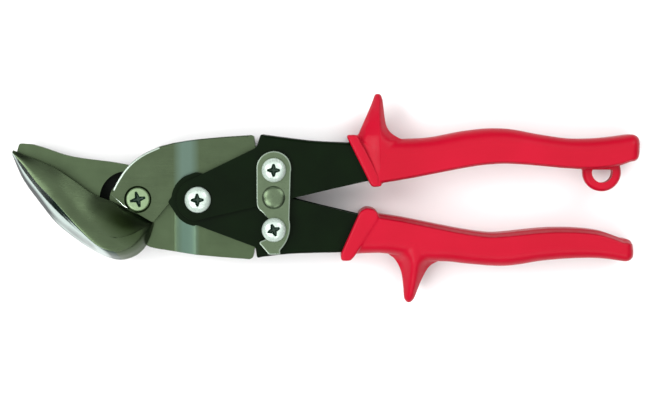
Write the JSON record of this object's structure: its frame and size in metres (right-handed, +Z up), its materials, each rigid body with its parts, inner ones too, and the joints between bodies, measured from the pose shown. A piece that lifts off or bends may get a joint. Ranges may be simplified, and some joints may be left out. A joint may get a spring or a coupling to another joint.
{
  "type": "aviation snips",
  "caption": "Offset aviation snips, closed and latched: forged jaws on compound-action sheet-steel handles with red vinyl grips, finger guards, a latch and a hang loop.",
  "frame": {"origin": "centre of the bounding box, at the height the tool rests on when it lies flat", "axes": "+X runs from the jaws to the ends of the grips, +Y towards the upper handle's side, +Z up along every pivot axis"},
  "size_m": [0.2354, 0.0786, 0.0226],
  "materials": {
    "forged_steel": "satin ground and tumbled forged steel, slightly warm grey",
    "zinc_plate": "bright zinc plate",
    "latch_zinc": "dull zinc plate with brighter stamped rims",
    "spring_steel": "oiled spring steel",
    "black_enamel": "satin black enamel on stamped steel",
    "red_vinyl": "moulded red vinyl, satin gloss"
  },
  "bodies": {
    "lower_handle": {"lower_handle": "black_enamel", "lower_grip": "red_vinyl", "handle_pivot_bolt": "zinc_plate", "handle_pivot_nut": "zinc_plate", "handle_pivot_sleeve": "zinc_plate", "opening_spring": "spring_steel", "lower_link_bolt": "zinc_plate", "lower_link_nut": "zinc_plate", "catch_collar": "zinc_plate"},
    "upper_handle": {"upper_handle": "black_enamel", "upper_grip": "red_vinyl", "upper_link_bolt": "zinc_plate", "upper_link_nut": "zinc_plate", "upper_link_spacer_front": "zinc_plate", "upper_link_spacer_back": "zinc_plate", "latch_spring_washer": "spring_steel"},
    "far_blade": {"far_blade": "forged_steel", "blade_pivot_bolt": "zinc_plate", "blade_pivot_washer": "zinc_plate", "blade_pivot_nut": "zinc_plate"},
    "near_blade": {"near_blade": "forged_steel"},
    "latch": {"latch": "latch_zinc"}
  },
  "joints": [
    {"name": "handle_pivot", "type": "hinge", "parent": "lower_handle", "child": "upper_handle", "pos_m": [-0.04755, -0.00025, 0.0098], "axis": [0, 0, 1], "range_deg": [0, 40]},
    {"name": "lower_link", "type": "hinge", "parent": "lower_handle", "child": "far_blade", "pos_m": [-0.01915, -0.01135, 0.0098], "axis": [0, 0, 1], "range_deg": [0, 9.5]},
    {"name": "blade_pivot", "type": "hinge", "parent": "far_blade", "child": "near_blade", "pos_m": [-0.07025, -0.00025, 0.0098], "axis": [0, 0, 1], "range_deg": [0, 21.2]},
    {"name": "latch_pivot", "type": "hinge", "parent": "upper_handle", "child": "latch", "pos_m": [-0.01915, 0.01085, 0.0183], "axis": [0, 0, 1], "range_deg": [0, 80.5]}
  ],
  "couplings": [
    {"joint": "lower_link", "follows": "handle_pivot", "ratio": 0.23625},
    {"joint": "blade_pivot", "follows": "handle_pivot", "ratio": 0.5275},
    {"joint": "latch_pivot", "follows": "handle_pivot", "ratio": 2}
  ]
}
